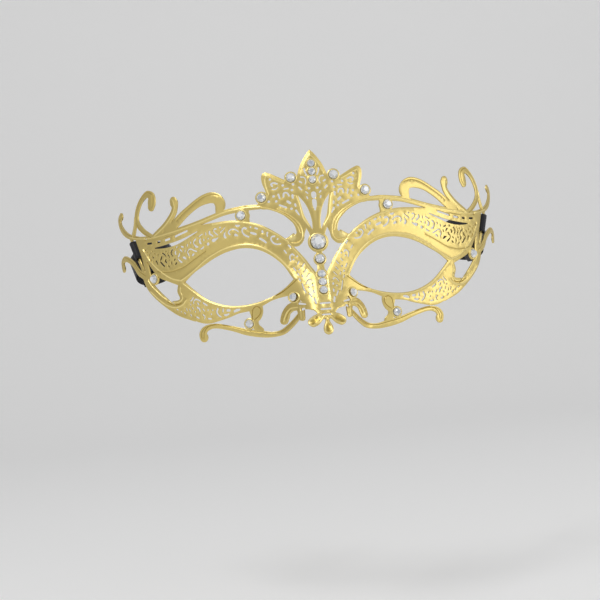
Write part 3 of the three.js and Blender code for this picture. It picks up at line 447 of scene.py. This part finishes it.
# Scrollwork of the bands. Its points and widths were picked by eye, and other scripts then worked
# out these numbers from them and wrote the two tables.
strokes = (
    ((0.425, 0.269, 0.51), (0.437, 0.257, 0.62), (0.448, 0.246, 0.73)),
    ((0.469, 0.267, 0.73), (0.478, 0.268, 0.79), (0.483, 0.26, 0.68), (0.479, 0.25, 0.64),
     (0.464, 0.234, 0.64)),
    ((0.505, 0.256, 1.17), (0.506, 0.247, 1.03), (0.498, 0.239, 0.81), (0.489, 0.23, 0.73)),
    ((0.526, 0.251, 0.77), (0.525, 0.242, 0.77)),
    ((0.544, 0.247, 0.68), (0.554, 0.242, 0.68), (0.563, 0.236, 0.62)),
    ((0.463, 0.219, 0.51), (0.474, 0.211, 1.01), (0.486, 0.207, 1.72), (0.492, 0.207, 1.25)),
    ((0.539, 0.217, 0.95), (0.538, 0.213, 0.95)),
    ((0.554, 0.225, 0.51), (0.561, 0.214, 1.21), (0.56, 0.205, 1.32), (0.554, 0.198, 0.88)),
    ((0.583, 0.224, 0.97), (0.591, 0.217, 1.03), (0.596, 0.206, 0.77), (0.592, 0.195, 0.77),
     (0.584, 0.185, 1.1), (0.572, 0.18, 0.62)),
    ((0.516, 0.19, 1.54), (0.518, 0.19, 1.54)),
    ((0.542, 0.177, 0.86), (0.549, 0.171, 0.9), (0.559, 0.167, 0.64)),
    ((0.613, 0.212, 0.84), (0.613, 0.206, 0.88)), ((0.632, 0.2, 0.92), (0.633, 0.192, 0.88)),
    ((0.656, 0.189, 0.77), (0.67, 0.194, 0.7)),
    ((0.581, 0.156, 0.64), (0.6, 0.165, 0.73), (0.615, 0.174, 0.68), (0.626, 0.171, 0.7),
     (0.634, 0.159, 0.79), (0.631, 0.148, 1.06), (0.626, 0.137, 0.81)),
    ((0.597, 0.144, 0.68), (0.603, 0.141, 1.21), (0.609, 0.136, 0.75)),
    ((0.648, 0.17, 0.77), (0.65, 0.161, 0.77)),
    ((0.679, 0.177, 0.77), (0.671, 0.171, 0.88), (0.667, 0.165, 0.77)),
    ((0.645, 0.122, 0.79), (0.654, 0.129, 1.19), (0.665, 0.132, 0.68)),
    ((0.694, 0.196, 0.92), (0.698, 0.191, 0.92)),
    ((0.703, 0.172, 0.77), (0.708, 0.162, 1.32), (0.704, 0.153, 0.77)),
    ((0.723, 0.182, 0.92), (0.732, 0.173, 0.99), (0.734, 0.161, 0.92), (0.73, 0.154, 0.81),
     (0.725, 0.145, 0.73)),
    ((0.683, 0.153, 1.1), (0.686, 0.145, 1.1), (0.693, 0.139, 0.75), (0.694, 0.129, 0.73),
     (0.688, 0.119, 0.81), (0.679, 0.111, 1.03), (0.67, 0.106, 0.68)),
    ((0.711, 0.129, 0.86), (0.716, 0.123, 0.92)),
    ((0.752, 0.174, 0.59), (0.756, 0.164, 0.73), (0.756, 0.156, 0.73), (0.749, 0.149, 0.7),
     (0.747, 0.141, 0.79)),
    ((0.793, 0.17, 0.79), (0.783, 0.163, 0.79), (0.775, 0.156, 0.75), (0.771, 0.149, 0.75)),
    ((0.823, 0.166, 0.88), (0.826, 0.155, 0.92)),
    ((0.799, 0.15, 1.1), (0.803, 0.141, 1.32), (0.811, 0.132, 0.92), (0.811, 0.123, 0.88),
     (0.801, 0.112, 1.01), (0.792, 0.102, 1.06), (0.783, 0.095, 0.77)),
    ((0.769, 0.133, 0.66), (0.775, 0.125, 1.32), (0.768, 0.113, 0.79)),
    ((0.736, 0.117, 0.66), (0.735, 0.108, 1.06), (0.734, 0.1, 0.7)),
    ((0.704, 0.106, 0.92), (0.711, 0.099, 0.99)), ((0.757, 0.096, 0.84), (0.753, 0.09, 0.88)),
    ((0.844, 0.132, 0.92), (0.836, 0.122, 1.01), (0.83, 0.11, 0.88)),
    ((0.883, 0.179, 0.88), (0.887, 0.171, 0.88), (0.892, 0.161, 0.7)),
    ((0.922, 0.203, 0.79), (0.914, 0.195, 0.79)), ((0.901, 0.188, 0.75), (0.904, 0.18, 0.75)),
    ((0.866, 0.158, 0.88), (0.858, 0.149, 0.84)), ((0.881, 0.145, 0.75), (0.876, 0.137, 0.75)),
    ((0.352, 0.273, 0.66), (0.36, 0.271, 1.1), (0.372, 0.276, 0.57)),
    ((0.36, 0.239, 0.55), (0.373, 0.252, 0.66), (0.39, 0.257, 0.7), (0.404, 0.25, 0.79),
     (0.409, 0.238, 0.79), (0.402, 0.229, 0.75)),
    ((0.366, 0.219, 0.75), (0.376, 0.224, 1.36)),
    ((0.425, 0.244, 0.57), (0.43, 0.231, 1.1), (0.429, 0.221, 1.32), (0.424, 0.215, 0.95)),
    ((0.322, 0.252, 0.88), (0.332, 0.257, 0.99), (0.341, 0.249, 0.92), (0.341, 0.235, 0.79),
     (0.332, 0.219, 0.84), (0.313, 0.206, 0.73)),
    ((0.279, 0.217, 0.99), (0.292, 0.223, 1.1), (0.302, 0.228, 0.79)),
    ((0.27, 0.246, 0.92), (0.281, 0.251, 0.73)), ((0.248, 0.23, 0.99), (0.246, 0.223, 0.99)),
    ((0.225, 0.219, 0.99), (0.227, 0.209, 0.66), (0.226, 0.201, 0.7)),
    ((0.262, 0.192, 0.88), (0.248, 0.181, 0.99), (0.235, 0.167, 0.84)),
    ((0.194, 0.196, 0.88), (0.205, 0.196, 0.79), (0.211, 0.184, 0.75), (0.207, 0.17, 0.75),
     (0.197, 0.157, 0.75), (0.183, 0.152, 0.73), (0.169, 0.153, 0.66)),
    ((0.134, 0.142, 0.7), (0.126, 0.129, 0.79)),
    ((0.13, 0.055, 0.57), (0.133, 0.08, 0.79), (0.122, 0.092, 0.79), (0.113, 0.083, 0.66)),
    ((0.155, 0.115, 0.66), (0.147, 0.1, 0.66)), ((0.072, 0.036, 0.64), (0.081, 0.021, 0.77)),
    ((0.095, 0.048, 0.75), (0.101, 0.036, 0.75)), ((0.121, 0.018, 0.62), (0.112, 0, 0.62)),
    ((0.067, 0.003, 0.7), (0.077, -0.012, 0.57)), ((0.105, -0.016, 0.77), (0.101, -0.024, 0.7)),
    ((0.087, -0.025, 0.62), (0.083, -0.038, 0.62)), ((0.055, -0.022, 0.62), (0.067, -0.038, 0.62)),
    ((0.102, -0.044, 0.68), (0.097, -0.056, 0.62)),
    ((0.073, -0.074, 0.62), (0.066, -0.06, 0.66), (0.055, -0.053, 0.66), (0.049, -0.061, 0.62)),
    ((0.047, -0.08, 0.79), (0.045, -0.088, 0.75)),
    ((0.091, -0.071, 0.62), (0.086, -0.097, 0.66), (0.079, -0.122, 0.59)),
    ((0.045, -0.113, 0.75), (0.044, -0.126, 0.75)),
    ((0.065, -0.124, 0.7), (0.059, -0.138, 0.7), (0.055, -0.148, 0.59)),
    ((0.623, -0.095, 0.99), (0.631, -0.106, 0.84), (0.64, -0.112, 0.64)),
    ((0.584, -0.117, 0.75), (0.598, -0.108, 0.75), (0.611, -0.106, 0.75), (0.621, -0.115, 0.75),
     (0.622, -0.126, 0.88)),
    ((0.6, -0.127, 0.88), (0.595, -0.134, 0.99)),
    ((0.569, -0.129, 0.84), (0.557, -0.138, 0.92), (0.548, -0.144, 0.68)),
    ((0.728, -0.15, 0.66), (0.718, -0.155, 0.62)), ((0.682, -0.172, 0.75), (0.676, -0.179, 0.75)),
    ((0.667, -0.152, 0.79), (0.663, -0.163, 0.75)), ((0.632, -0.148, 0.68), (0.626, -0.158, 0.68)),
    ((0.65, -0.157, 0.75), (0.646, -0.167, 0.7)), ((0.645, -0.186, 0.79), (0.64, -0.194, 0.79)),
    ((0.605, -0.15, 0.88), (0.594, -0.158, 1.1), (0.59, -0.173, 0.88)),
    ((0.574, -0.16, 0.75), (0.566, -0.172, 0.75)), ((0.612, -0.202, 0.79), (0.598, -0.21, 0.75)),
    ((0.575, -0.192, 0.75), (0.565, -0.204, 0.79), (0.57, -0.216, 0.66)),
    ((0.548, -0.216, 0.79), (0.532, -0.219, 0.75)),
    ((0.494, -0.168, 1.1), (0.5, -0.184, 1.06), (0.491, -0.204, 0.88), (0.48, -0.212, 0.66)),
    ((0.467, -0.172, 0.88), (0.468, -0.184, 0.92)), ((0.447, -0.18, 1.1), (0.434, -0.181, 1.14)),
    ((0.463, -0.203, 0.79), (0.452, -0.205, 0.99), (0.44, -0.2, 0.73)),
    ((0.412, -0.189, 0.99), (0.4, -0.184, 1.32), (0.385, -0.181, 0.88)),
)
stroke_dots = (
    (0.449, 0.273), (0.515, 0.22), (0.767, 0.177), (0.846, 0.17), (0.863, 0.186), (0.752, 0.125),
    (0.864, 0.13), (0.301, 0.258), (0.181, 0.18), (0.1, 0.078), (0.118, 0.062), (0.096, 0.006),
    (0.062, -0.096), (0.64, -0.132), (0.7, -0.166), (0.617, -0.173), (0.546, -0.17),
    (0.521, -0.172), (0.53, -0.193),
)
stones = (
    ("nose_1", (0, 0.146), 6.8),
    ("nose_2", (0, 0.052), 4.2),
    ("nose_3", (0, -0.03), 3.7),
    ("nose_4", (0, -0.073), 3.7),
    ("nose_5", (0, -0.116), 3.7),
    ("crown_top", (0, 0.575), 3.4),
    ("crown_middle", (0, 0.53), 3.4),
    ("crown_bottom", (0, 0.485), 3.4),
    ("crown_valley", (0.097, 0.505), 4.2),
    ("crown_foot", (0.238, 0.41), 4.2),
    ("brow", (0.341, 0.325), 4.2),
    ("cheek", (0.13, -0.14), 3.7),
    ("scroll", (0.342, -0.262), 3.7),
    ("temple", (0.86, 0.03), 4.2),
)
arm_width, slit_width, dot_radius, stroke_dot_radius, pad_rim = 2.2, 1.0, 0.65, 0.48, 0.8
shoulder_width, shoulder_drop, grid_pitch = 0.3, 0.14, 2.0
bezel_room, bezel_width, bezel_height = 0.4, 0.36, 0.25
ridge_width, ridge_height = 0.5, 0.2
drop_rim_inset, drop_rim_width, drop_rim_height = 0.5, 0.35, 0.28
groove_place, groove_width, groove_height = 0.45, 0.26, -0.16
slit_steps, slit_cap, dot_corners, pad_corners = 4, 5, 10, 28
blank_low, blank_high, cut_tolerance = -60, 80, 0.002
grid_low, grid_high = -32, 58
# Tones that paint light and shade into the gold: the flat front, a painted highlight added along the cut
# edges, and the back, which is kept darker than the front.
plain_tone, painted_edge_highlight, back_tone = 0.5, 0.06, 0.4


def place(shares):
    return np.asarray(shares, float) * (half_span, sheet_height)


def smooth_run(rows, steps=6):
    """A smooth line through rows of numbers."""
    rows = np.asarray(rows, float)
    rows = np.vstack([2 * rows[0] - rows[1], rows, 2 * rows[-1] - rows[-2]])
    run = []
    t = np.linspace(0, 1, steps + 1)[:-1, None]
    for a, b, c, d in zip(rows, rows[1:], rows[2:], rows[3:]):
        before, here, after = (max(np.linalg.norm(q - p), 1e-9) ** 0.5 for p, q in ((a, b), (b, c), (c, d)))
        leave = ((b - a) / before - (c - a) / (before + here) + (c - b) / here) * here
        arrive = ((c - b) / here - (d - b) / (here + after) + (d - c) / after) * here
        run.append((2 * t ** 3 - 3 * t ** 2 + 1) * b + (t ** 3 - 2 * t ** 2 + t) * leave
                   + (3 * t ** 2 - 2 * t ** 3) * c + (t ** 3 - t ** 2) * arrive)
    return np.vstack([*run, rows[-2]])


def outline(runs, steps=6):
    """A closed outline of smooth runs that meet in corners."""
    points = [place(runs[0][0])]
    for run in runs[1:]:
        if len(run) == 1:
            points.append(place(run[0]))
        else:
            points.extend(smooth_run([points[-1], *place(run)], steps)[1:])
    return np.array(points)


def turned(offset, angle):
    c, s = math.cos(angle), math.sin(angle)
    return np.array([c * offset[0] - s * offset[1], s * offset[0] + c * offset[1]])


def arm_outline(rows, width, steps=6, cap=7, less=0.0):
    """A tapered arm with round ends, drawn in by less all round."""
    spine = smooth_run([(x * half_span, y * sheet_height, w * width / 2) for x, y, w in rows], steps)
    tangent = np.gradient(spine[:, :2], axis=0)
    tangent /= np.linalg.norm(tangent, axis=1, keepdims=True)
    reach = np.maximum(spine[:, 2:] - less, 0.02)
    offset = np.stack([-tangent[:, 1], tangent[:, 0]], 1) * reach
    middle = spine[:, :2]
    end = [middle[-1] + turned(offset[-1], -math.pi * k / cap) for k in range(1, cap)]
    start = [middle[0] + turned(-offset[0], -math.pi * k / cap) for k in range(1, cap)]
    return np.vstack([middle + offset, end, (middle - offset)[::-1], start])


def ring(middle, radius, corners):
    angles = np.linspace(0, 2 * math.pi, corners, endpoint=False)
    return np.asarray(middle) + radius * np.stack([np.cos(angles), np.sin(angles)], 1)


def moved_in(points, distance, closed=True):
    """A line drawn again beside itself: to its left, by distance."""
    points = np.asarray(points, float)
    if closed:
        step = np.roll(points, -1, 0) - np.roll(points, 1, 0)
    else:
        step = np.gradient(points, axis=0)
    step /= np.maximum(np.linalg.norm(step, axis=1, keepdims=True), 1e-9)
    return points + np.stack([-step[:, 1], step[:, 0]], 1) * distance


# Lines worked into the front, each with its half width and its height in millimetres: rims stand
# up, engraved lines go down
rims = (
    (((0.934, 0.206), (0.898, 0.153), (0.849, 0.1), (0.795, 0.056), (0.738, 0.021),
      (0.683, 0.005)), 0.45, 0.3),
    (((0.683, 0.005), (0.64, 0.028), (0.591, 0.061), (0.538, 0.102), (0.488, 0.131), (0.436, 0.153),
      (0.376, 0.164), (0.319, 0.164), (0.264, 0.146), (0.22, 0.116), (0.177, 0.071), (0.14, 0.012),
      (0.116, -0.04)), 0.45, 0.3),
    (((0.135, 0.163), (0.189, 0.212), (0.246, 0.251), (0.314, 0.281), (0.395, 0.294),
      (0.48, 0.293)), 0.45, 0.3),
    (((0.132, 0.15), (0.106, 0.112), (0.073, 0.056), (0.047, 0.004), (0.029, -0.04), (0.026, -0.1),
      (0.027, -0.16)), 0.45, 0.32),
    (((0.668, -0.016), (0.62, -0.058), (0.554, -0.114), (0.467, -0.155), (0.395, -0.167), (0.31, -0.16),
      (0.225, -0.132)), 0.4, 0.25),
    (((0.905, 0.02), (0.88, -0.012), (0.854, -0.036), (0.804, -0.079), (0.772, -0.099), (0.732, -0.112),
      (0.7, -0.109), (0.684, -0.097), (0.682, -0.079), (0.689, -0.062), (0.692, -0.046),
      (0.689, -0.034)), 0.4, 0.35),
    (((0.894, -0.04), (0.842, -0.085), (0.788, -0.122), (0.761, -0.133), (0.735, -0.139), (0.706, -0.137),
      (0.682, -0.127), (0.664, -0.108)), 0.45, 0.35),
    (((0.247, 0.36), (0.21, 0.35), (0.164, 0.327), (0.122, 0.294), (0.098, 0.262), (0.084, 0.232),
      (0.078, 0.205)), 0.35, 0.3),
    (((0.17, 0.341), (0.135, 0.318), (0.104, 0.289), (0.082, 0.26), (0.071, 0.228), (0.067, 0.196),
      (0.071, 0.172), (0.082, 0.156), (0.098, 0.149), (0.115, 0.152)), 0.4, 0.35),
    (((0.112, 0.178), (0.113, 0.179)), 2.1, 0.4),
    (((0.062, 0.3), (0.056, 0.275), (0.042, 0.248), (0.03, 0.228)), 0.35, 0.25),
    (((0.08, 0.405), (0.07, 0.36), (0.063, 0.31)), 0.35, 0.25),
    (((0.129, 0.48), (0.163, 0.499), (0.191, 0.517), (0.209, 0.526)), 0.4, 0.3),
    (((0.209, 0.526), (0.216, 0.505), (0.213, 0.465), (0.204, 0.425)), 0.4, 0.3),
    (((0.0, 0.622), (0.016, 0.603), (0.032, 0.572), (0.044, 0.541), (0.052, 0.52)), 0.45, 0.32),
    (((0.118, -0.195), (0.146, -0.197), (0.166, -0.218), (0.176, -0.242), (0.182, -0.262)), 0.45, 0.25),
)
engravings = (
    (((0.835, 0.069), (0.79, 0.062), (0.741, 0.06), (0.691, 0.068), (0.65, 0.083), (0.607, 0.108),
      (0.571, 0.129), (0.533, 0.15)), 0.24, -0.14),
    (((0.118, -0.055), (0.15, -0.084), (0.18, -0.107), (0.205, -0.12)), 0.28, -0.28),
    (((0.314, -0.24), (0.29, -0.215), (0.284, -0.193), (0.292, -0.177), (0.306, -0.172), (0.32, -0.184),
      (0.326, -0.21), (0.326, -0.24)), 0.24, -0.18),
    (((0.44, 0.447), (0.472, 0.457), (0.511, 0.452), (0.55, 0.434), (0.585, 0.411), (0.639, 0.373),
      (0.682, 0.338)), 0.22, -0.14),
    (((0.442, -0.265), (0.481, -0.257), (0.517, -0.252), (0.553, -0.262), (0.574, -0.29),
      (0.577, -0.315)), 0.25, -0.2),
    (((0.778, -0.109), (0.744, -0.124), (0.707, -0.124), (0.692, -0.117)), 0.3, -0.22),
    (((0.15, -0.205), (0.165, -0.23), (0.174, -0.252)), 0.25, -0.2),
    (((0, -0.3), (0, -0.322)), 1.1, -0.35),
    (((0.045, -0.265), (0.062, -0.277)), 1.1, -0.35),
)
reliefs = [(smooth_run(place(line)), width, height) for line, width, height in rims + engravings]
for _, at, size in stones:
    bezel = ring(place(at), size / 2 + bezel_room, pad_corners)
    reliefs.append((np.vstack([bezel, bezel[:1]]), bezel_width, bezel_height))
# The other arms carry a low ridge along their middle
plain_arms = ("strap bar", "nose strip", "brow post", "cheek post", "connector", "inner curl", "brow leaf",
              "cheek leaf", "strut", "slot strip", "lower scroll", "middle drop", "side drop", "tall curl",
              "outer curl", "cheek curl")
for name, rows in arms.items():
    if name not in plain_arms:
        reliefs.append((smooth_run(place([row[:2] for row in rows])), ridge_width, ridge_height))
# The drops have a rim inside their outline, and the long curls a groove along one side
for name in ("middle drop", "side drop"):
    rim = arm_outline(arms[name], arm_width, less=drop_rim_inset)
    reliefs.append((np.vstack([rim, rim[:1]]), drop_rim_width, drop_rim_height))
for name, side in (("tall curl", -1), ("outer curl", 1), ("cheek curl", 1), ("lower scroll", -1)):
    spine = smooth_run([(x * half_span, y * sheet_height, w * arm_width / 2) for x, y, w in arms[name]])
    tangent = np.gradient(spine[:, :2], axis=0)
    tangent /= np.linalg.norm(tangent, axis=1, keepdims=True)
    beside = np.stack([-tangent[:, 1], tangent[:, 0]], 1) * spine[:, 2:] * groove_place * side
    reliefs.append((spine[:, :2] + beside, groove_width, groove_height))
# Wider pads: one behind the large stone, one behind each brow stone toward the middle
pads = (((0, 0.146), 4.7), ((0.326, 0.322), 2.6))

plates = {"surround": outline(surround), "crown": outline(crown)}
windows = {"eye": outline(eye), "lens": outline(lens)}
bars = [arm_outline(rows, arm_width) for rows in arms.values()]
bars += [ring(place(at), size / 2 + pad_rim, pad_corners) for _, at, size in stones]
bars += [ring(place(at), radius, pad_corners) for at, radius in pads]
holes = [arm_outline(rows, slit_width, slit_steps, slit_cap) for rows in slits]
holes += [ring(place(at), dot_radius, dot_corners) for at in dots]
holes += [arm_outline(rows, slit_width, slit_steps, slit_cap) for rows in strokes]
holes += [ring(place(at), stroke_dot_radius, dot_corners) for at in stroke_dots]
shoulders = [moved_in(plates["surround"], shoulder_width), moved_in(plates["surround"], -shoulder_width),
             moved_in(plates["crown"], shoulder_width), moved_in(plates["crown"], -shoulder_width)]
shoulders += [moved_in(run, side * shoulder_width) for run in windows.values() for side in (-1, 1)]
shoulders += [arm_outline(rows, arm_width, less=shoulder_width) for rows in arms.values()]


def inside(polygon, points):
    """Which points a polygon winds round."""
    found = np.zeros(len(points), bool)
    low, high = polygon.min(0), polygon.max(0)
    near = np.where(((points >= low) & (points <= high)).all(1))[0]
    if not len(near):
        return found
    x, y = points[near, 0][:, None], points[near, 1][:, None]
    ax, ay = polygon.T
    bx, by = np.roll(polygon, -1, 0).T
    side = (bx - ax) * (y - ay) - (by - ay) * (x - ax)
    winding = ((ay <= y) & (by > y) & (side > 0)).sum(1) - ((ay > y) & (by <= y) & (side < 0)).sum(1)
    found[near] = winding != 0
    return found


def from_line(points, run):
    """Distance of each point from a line, up to two millimetres."""
    best = np.full(len(points), 2.0)
    low, high = run.min(0) - 2, run.max(0) + 2
    near = np.where(((points >= low) & (points <= high)).all(1))[0]
    p = points[near]
    for a, b in zip(run, run[1:]):
        span = b - a
        t = np.clip(((p - a) @ span) / max(span @ span, 1e-12), 0, 1)
        best[near] = np.minimum(best[near], np.linalg.norm(p - a - t[:, None] * span, axis=1))
    return best


# The right half is cut into triangles along every outline and relief line, which cross one another.
# A triangle is metal or gap by the outlines that wind round its middle.
corners, edges = [], []


def add_line(run, closed):
    base = len(corners)
    corners.extend(Vector(point) for point in run)
    edges.extend((base + k, base + k + 1) for k in range(len(run) - 1))
    if closed:
        edges.append((base + len(run) - 1, base))


for run in [*plates.values(), *windows.values(), *bars, *holes, *shoulders]:
    add_line(run, True)
for run, width, _ in reliefs:
    for side in (-1, 0, 1):
        add_line(moved_in(run, side * width, False) if side else run, False)
add_line(np.array([(0, blank_low), (0, blank_high)]), False)
for k, x in enumerate(np.arange(0.7, 1.2 * half_span, grid_pitch)):
    for y in np.arange(grid_low, grid_high, grid_pitch):
        corners.append(Vector((x, y + grid_pitch / 2 * (k % 2))))
spots, _, triangles, *_ = delaunay_2d_cdt(corners, edges, [], 0, cut_tolerance, False)
spots = np.array([tuple(v) for v in spots])
triangles = np.array(triangles)
centres = spots[triangles].mean(1)
metal = inside(plates["surround"], centres) & ~inside(windows["eye"], centres)
metal = (metal | inside(plates["crown"], centres)) & ~inside(windows["lens"], centres)
for bar in bars:
    metal |= inside(bar, centres)
# The connector's round end stops at the eye's edge
metal &= ~(inside(windows["eye"], centres) & (centres[:, 0] < 45) & (centres[:, 1] < 0))
for hole in holes:
    metal &= ~inside(hole, centres)
metal &= centres[:, 0] > 0
triangles = triangles[metal]

bm = bmesh.new()
used = np.unique(triangles)
spots[np.abs(spots[:, 0]) < 0.003, 0] = 0
verts = {i: bm.verts.new((*spots[i], 0)) for i in used}
for triangle in triangles:
    bm.faces.new([verts[i] for i in triangle])
bmesh.ops.mirror(bm, geom=bm.verts[:] + bm.edges[:] + bm.faces[:], axis="X", merge_dist=0.001)
bmesh.ops.recalc_face_normals(bm, faces=bm.faces)
edge_spots = {v for e in bm.edges if e.is_boundary for v in e.verts}
edge_keys = {(round(v.co.x, 4), round(v.co.y, 4)) for v in edge_spots}
made = bmesh.ops.extrude_face_region(bm, geom=bm.faces[:])["geom"]
front = [v for v in made if isinstance(v, bmesh.types.BMVert)]
bm.verts.index_update()
flat = np.array([(abs(v.co.x), v.co.y) for v in front])
height = np.zeros(len(front))
for run, width, rise in reliefs:
    share = np.clip(1 - from_line(flat, run) / width, 0, 1)
    height = np.where(abs(rise * share) > abs(height), rise * share, height)
# The front's tone paints light and shade: raised rims and ridges are lighter as a painted highlight,
# engraved lines are darker as painted shade in their recesses, and the cut edges are lighter still as a
# painted edge highlight. The back gets one darker, even tone.
tones = {}
for vert, lift in zip(front, height):
    edge = (round(vert.co.x, 4), round(vert.co.y, 4)) in edge_keys
    vert.co.z = sheet_thickness + (min(lift, 0) - shoulder_drop if edge else lift)
    tones[vert.index] = plain_tone + (max(lift, 0) + painted_edge_highlight if edge else lift)
bmesh.ops.recalc_face_normals(bm, faces=bm.faces)
tone = bm.verts.layers.float.new("relief")
for vert in bm.verts:
    vert[tone] = tones.get(vert.index, back_tone)
flat = np.array([v.co[:] for v in bm.verts])
for vert, spot in zip(bm.verts, on_sheet(flat[:, 0], flat[:, 1], flat[:, 2] - sheet_thickness / 2)):
    vert.co = spot
for face in bm.faces:
    face.smooth = True

gold, nodes, links, shader = new_material("gold_plate", (0.76, 0.58, 0.2), 0.38, Metallic=1.0)
grain = grain_node(nodes, 2600)
# The relief tone mixes a dark and a bright gold: painted shade in the engraved lines, and a painted
# highlight on the rims, ridges and cut edges.
painted_relief_light = nodes.new("ShaderNodeAttribute")
painted_relief_light.attribute_name = "relief"
tone_of = nodes.new("ShaderNodeMapRange")
tone_of.inputs["From Min"].default_value = 0.35
tone_of.inputs["From Max"].default_value = 0.72
links.new(painted_relief_light.outputs["Fac"], tone_of.inputs["Value"])
mixed = mixed_color(nodes, links, tone_of.outputs["Result"], (0.5, 0.36, 0.085), (1.0, 0.83, 0.35))
links.new(mixed, shader.inputs["Base Color"])
bump_from(nodes, links, grain.outputs["Height"], 0.00003, shader)

sheet = new_piece("filigree_sheet", bm, gold, "mask")
sheet.data.set_sharp_from_angle(angle=math.radians(38))
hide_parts("mask_frame")

# Stones. Each is a round flat-backed cut crystal, silvered behind, glued on its pad of the sheet
# inside the pad's raised rim. Its facets rise from a straight girdle to a flat table.
crystal, nodes, links, shader = new_material("crystal", (0.8, 0.84, 0.9), 0.06, Metallic=0.35)
# Each facet gets its own tone between grey-blue and white: a painted reflection of a varied room in the
# facets.
facet = nodes.new("ShaderNodeAttribute")
facet.attribute_name = "facet"
spread = nodes.new("ShaderNodeMapRange")
links.new(facet.outputs["Fac"], spread.inputs["Value"])
mixed = mixed_color(nodes, links, spread.outputs["Result"], (0.5, 0.54, 0.6), (0.98, 0.99, 1.0))
links.new(mixed, shader.inputs["Base Color"])

stone_height_share, table_share, girdle_share, glue_line = 0.42, 0.52, 0.1, 0.15
seat_spokes = 12
facet_seed = 7
for name, (x, y), size in stones:
    for side in ((1, -1) if x else (1,)):
        across, rise = place((x, y)) * (side, 1)
        normal = facing(across, rise)
        spoke = np.linspace(0, 2 * math.pi, seat_spokes, endpoint=False)
        reach = size / 2 + 2 * pad_rim
        rim = bent(across + reach * np.cos(spoke), rise + reach * np.sin(spoke))
        seat = max(0, ((rim - bent(across, rise)) @ normal).max())
        foot = Vector(on_sheet(across, rise, sheet_thickness / 2 + seat + glue_line))
        bm = bmesh.new()
        r, h = size / 2, size * stone_height_share
        # The back, the girdle, the ring between and the table: radius, height, corners, turn
        levels = ((r, 0, 16, 0), (r, girdle_share * size, 16, 0), (0.8 * r, 0.62 * h, 8, 0.5),
                  (table_share * r, h, 8, 0))
        for radius, level_height, count, shift in levels:
            circle = bmesh.ops.create_circle(bm, segments=count, radius=radius)["verts"]
            turn_by = Matrix.Rotation(shift * 2 * math.pi / count, 3, "Z")
            bmesh.ops.rotate(bm, verts=circle, matrix=turn_by)
            bmesh.ops.translate(bm, verts=circle, vec=(0, 0, level_height))
        bmesh.ops.convex_hull(bm, input=bm.verts)
        bmesh.ops.dissolve_limit(bm, angle_limit=math.radians(1), verts=bm.verts, edges=bm.edges)
        # A random tone for each facet, read by the crystal material as its painted reflection.
        facets = bm.faces.layers.float.new("facet")
        for face in bm.faces:
            facet_seed = (facet_seed * 1103515245 + 12345) % 2147483648
            face[facets] = facet_seed / 2147483648
        turn_to = Vector((0, 0, 1)).rotation_difference(Vector(normal)).to_matrix()
        bmesh.ops.rotate(bm, verts=bm.verts, matrix=turn_to)
        bmesh.ops.scale(bm, verts=bm.verts, vec=(0.001, 0.001, 0.001))
        bmesh.ops.translate(bm, verts=bm.verts, vec=foot)
        hand = "" if not x else "_right" if side > 0 else "_left"
        piece = new_piece(f"crystal_{name}{hand}", bm, crystal, "mask")
        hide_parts(f"stone_{name}{hand}")

# Floor and backdrop. One pale sheet of matt paper lies under the mask, bends up behind it and
# hangs from above.
paper, nodes, links, shader = new_material("pale_paper", (0.95, 0.95, 0.95), 0.9)
floor_height, floor_front, floor_back, sweep_radius, backdrop_top = -0.16, -3.0, 0.9, 0.6, 3.0
bm = bmesh.new()
sweep = [(floor_front, floor_height), (floor_back, floor_height)]
for angle in np.linspace(0, math.pi / 2, 13)[1:]:
    sweep.append((floor_back + sweep_radius * math.sin(angle),
                  floor_height + sweep_radius - sweep_radius * math.cos(angle)))
sweep.append((floor_back + sweep_radius, backdrop_top))
line = [bm.verts.new((-3, y, z)) for y, z in sweep]
row = [bm.edges.new(pair) for pair in zip(line, line[1:])]
made = bmesh.ops.extrude_edge_only(bm, edges=row)["geom"]
bmesh.ops.translate(bm, verts=[v for v in made if isinstance(v, bmesh.types.BMVert)], vec=(6, 0, 0))
for face in bm.faces:
    face.smooth = True
mesh = bpy.data.meshes.new("backdrop")
bm.to_mesh(mesh)
bm.free()
backdrop = bpy.data.objects.new("backdrop", mesh)
bpy.context.scene.collection.objects.link(backdrop)
mesh.materials.append(paper)

# Light. A large soft lamp from the upper right in front, a weak one from the left, one at the right
# side, a small one from the upper left in front that catches the raised rims, and a pale room.
lamps = (
    ("key", (0.9, -1.0, 0.7), 1.0, 2.5),
    ("fill", (-1.1, -0.7, 0.2), 0.9, 0.8),
    ("right", (1.2, -0.3, 0.15), 0.9, 3.6),
    ("top", (-0.45, -0.55, 1.05), 0.4, 4),
)
for name, spot, size, power in lamps:
    lamp = bpy.data.lights.new(name, "AREA")
    lamp.energy, lamp.size = power, size
    holder = bpy.data.objects.new(name, lamp)
    bpy.context.scene.collection.objects.link(holder)
    holder.location = spot
    holder.rotation_euler = (-Vector(spot)).to_track_quat("-Z", "Y").to_euler()
world = bpy.data.worlds.new("room")
bpy.context.scene.world = world
world.use_nodes = True
world.node_tree.nodes["Background"].inputs["Color"].default_value = (1, 1, 1, 1)
world.node_tree.nodes["Background"].inputs["Strength"].default_value = 0.5

bpy.context.scene.view_settings.view_transform = "Standard"
